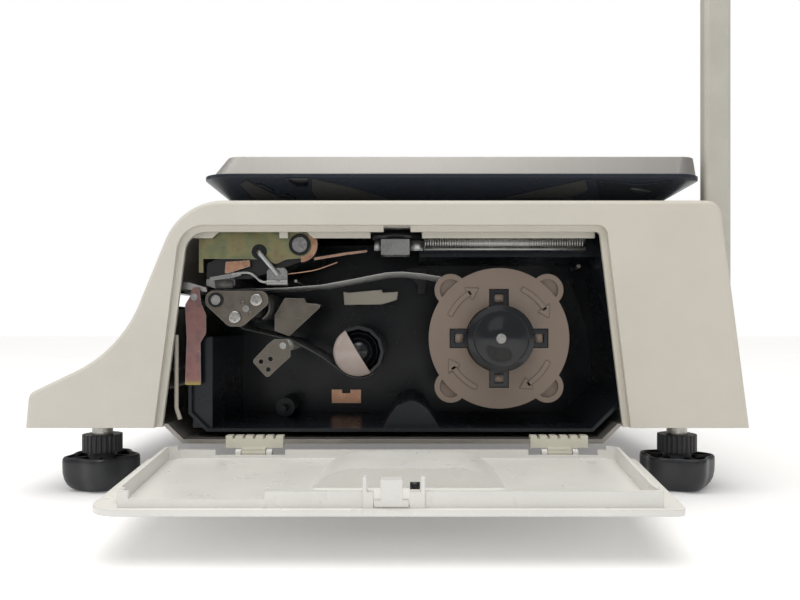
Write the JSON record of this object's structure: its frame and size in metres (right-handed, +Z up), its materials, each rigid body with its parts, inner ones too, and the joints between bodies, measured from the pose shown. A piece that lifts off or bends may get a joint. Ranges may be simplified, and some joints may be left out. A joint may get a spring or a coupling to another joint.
{
  "type": "label printing scale",
  "caption": "Counter scale with stainless platter, pole display and a side-loading label printer behind a drop-down door.",
  "frame": {"origin": "on the bench plane, at the middle of the plan outline with the printer door open", "axes": "+Z up, -Y to the operator, +X to the printer side"},
  "size_m": [0.5057, 0.4287, 0.522],
  "materials": {
    "case_plastic": "fine moulded satin",
    "door_plastic": "glossy inside, satin outside",
    "bay_plastic": "moulded black",
    "tray_plastic": "moulded black",
    "platter_steel": "brushed",
    "pan_steel": "satin grey",
    "zinc_yellow": "yellow passivated",
    "zinc_plain": "bright zinc",
    "zinc_red": "iridescent passivated",
    "bracket_metal": "dull nickel",
    "shaft_steel": "ground",
    "screw_steel": "bright",
    "roller_rubber": "matt",
    "roller_plastic": "moulded",
    "ribbed_plastic": "moulded grey",
    "spool_plastic": "grained taupe",
    "hub_plastic": "glossy black",
    "clip_plastic": "glossy",
    "hinge_plastic": "ivory",
    "label_stock": "coated",
    "liner_stock": "glassine",
    "board": "solder mask",
    "socket_plastic": "moulded black",
    "cell_metal": "machined",
    "stand_metal": "cast",
    "supply_metal": "zinc coated",
    "key_film": "textured film",
    "pole_metal": "satin coated",
    "display_glass": "tinted",
    "gear_plastic": "moulded",
    "belt_rubber": "matt",
    "motor_metal": "black and bare steel",
    "head_plastic": "moulded black",
    "head_metal": "heat sink",
    "copper_foil": "lacquered",
    "foot_plastic": "moulded black",
    "level_glass": "clear",
    "rod_plastic": "beige"
  },
  "bodies": {
    "case": {"upper_housing": "case_plastic", "base_pan": "pan_steel", "case_screws": "screw_steel", "compartment_liner": "bay_plastic", "keypad_panel": "key_film", "label_exit_frame": "bay_plastic", "platter_carrier": "tray_plastic", "load_cell": "cell_metal", "cell_brackets": "stand_metal", "bubble_level": "level_glass", "main_board": "board", "power_supply": "supply_metal", "power_inlet": "socket_plastic", "pole": "pole_metal", "display_covers": "case_plastic", "display_windows": "display_glass", "head_shaft": "shaft_steel", "peel_bar": "zinc_plain", "side_bracket": "bracket_metal", "tie_rods": "screw_steel", "fixed_spindles": "shaft_steel", "guide_plate": "bracket_metal", "roller_bracket": "bracket_metal", "lift_rod": "rod_plastic", "drive_motor": "motor_metal", "drive_plate": "zinc_plain", "drive_belt": "belt_rubber", "spool_axle": "shaft_steel", "label_web": "label_stock", "liner_web": "liner_stock", "label_sensor": "copper_foil", "door_strike": "zinc_plain", "ceiling_rail": "zinc_plain", "hinge_brackets": "hinge_plastic", "hinge_pins": "shaft_steel", "lock_nuts": "foot_plastic"},
    "door": {"door_panel": "door_plastic"},
    "latch": {"door_latch": "door_plastic"},
    "platter": {"platter": "platter_steel"},
    "print_head": {"head_plate": "zinc_yellow", "head_arm": "head_plastic", "thermal_head": "head_metal"},
    "wire_handle": {"release_wire": "shaft_steel"},
    "lever": {"release_lever": "zinc_red"},
    "platen": {"platen_roller": "roller_rubber", "platen_shaft": "shaft_steel", "platen_gear": "gear_plastic"},
    "motor_rotor": {"motor_pinion": "zinc_plain"},
    "rewinder": {"rewind_spindle": "hub_plastic", "rewind_pulley": "gear_plastic"},
    "feed_roller": {"feed_roller": "ribbed_plastic"},
    "tension_roller": {"tension_roller": "roller_plastic"},
    "spool": {"spool_hub": "hub_plastic", "label_roll": "label_stock"},
    "spool_flange": {"spool_flange": "spool_plastic"},
    "foot_front_near": {"foot_front_near": "foot_plastic"},
    "foot_front_far": {"foot_front_far": "foot_plastic"},
    "foot_rear_near": {"foot_rear_near": "foot_plastic"},
    "foot_rear_far": {"foot_rear_far": "foot_plastic"},
    "rocker": {"power_switch": "socket_plastic"}
  },
  "joints": [
    {"name": "door_hinge", "type": "hinge", "parent": "case", "child": "door", "pos_m": [0.12, 0, 0.0245], "axis": [0, -1, 0], "range_deg": [0, 90]},
    {"name": "latch_slide", "type": "slide", "parent": "door", "child": "latch", "axis": [1, 0, 0], "range_m": [0, 0.0026], "stiffness_N_per_m": 400, "springref_m": -0.003},
    {"name": "platter_lift", "type": "slide", "parent": "case", "child": "platter", "axis": [0, 0, 1], "range_m": [0, 0.06]},
    {"name": "head_lift", "type": "hinge", "parent": "case", "child": "print_head", "pos_m": [0.0735, -0.0533, 0.1483], "axis": [-1, 0, 0], "range_deg": [0, 9]},
    {"name": "wire_swing", "type": "hinge", "parent": "print_head", "child": "wire_handle", "pos_m": [0.0735, -0.0781, 0.1449], "axis": [1, 0, 0], "range_deg": [0, 35]},
    {"name": "lever_swing", "type": "hinge", "parent": "case", "child": "lever", "pos_m": [0.0735, -0.116, 0.1166], "axis": [1, 0, 0], "range_deg": [0, 10]},
    {"name": "platen_spin", "type": "hinge", "parent": "case", "child": "platen", "pos_m": [0.0735, -0.1041, 0.115], "axis": [1, 0, 0], "continuous": true},
    {"name": "motor_spin", "type": "hinge", "parent": "case", "child": "motor_rotor", "pos_m": [0.0735, -0.09841, 0.09375], "axis": [1, 0, 0], "continuous": true},
    {"name": "rewinder_spin", "type": "hinge", "parent": "case", "child": "rewinder", "pos_m": [0.0735, -0.0187, 0.0836], "axis": [1, 0, 0], "continuous": true},
    {"name": "feed_spin", "type": "hinge", "parent": "case", "child": "feed_roller", "pos_m": [0.0735, -0.086, 0.1098], "axis": [1, 0, 0], "continuous": true},
    {"name": "tension_spin", "type": "hinge", "parent": "case", "child": "tension_roller", "pos_m": [0.0735, -0.0635, 0.0874], "axis": [1, 0, 0], "continuous": true},
    {"name": "spool_spin", "type": "hinge", "parent": "case", "child": "spool", "pos_m": [0.0735, 0.068, 0.0917], "axis": [1, 0, 0], "continuous": true},
    {"name": "flange_pull", "type": "slide", "parent": "spool", "child": "spool_flange", "axis": [1, 0, 0], "range_m": [0, 0.09]},
    {"name": "switch_rock", "type": "hinge", "parent": "case", "child": "rocker", "pos_m": [-0.19, 0.204, 0.072], "axis": [1, 0, 0], "range_deg": [0, 12]},
    {"name": "foot_front_near_turn", "type": "hinge", "parent": "case", "child": "foot_front_near", "pos_m": [0.1005, -0.1762, 0.01], "axis": [0, 0, 1], "continuous": true},
    {"name": "foot_front_far_turn", "type": "hinge", "parent": "case", "child": "foot_front_far", "pos_m": [-0.2295, -0.1762, 0.01], "axis": [0, 0, 1], "continuous": true},
    {"name": "foot_rear_near_turn", "type": "hinge", "parent": "case", "child": "foot_rear_near", "pos_m": [0.1005, 0.1776, 0.01], "axis": [0, 0, 1], "continuous": true},
    {"name": "foot_rear_far_turn", "type": "hinge", "parent": "case", "child": "foot_rear_far", "pos_m": [-0.2295, 0.1776, 0.01], "axis": [0, 0, 1], "continuous": true}
  ],
  "couplings": [
    {"joint": "motor_spin", "follows": "platen_spin", "ratio": -2.6667},
    {"joint": "rewinder_spin", "follows": "platen_spin", "ratio": 0.57143}
  ]
}
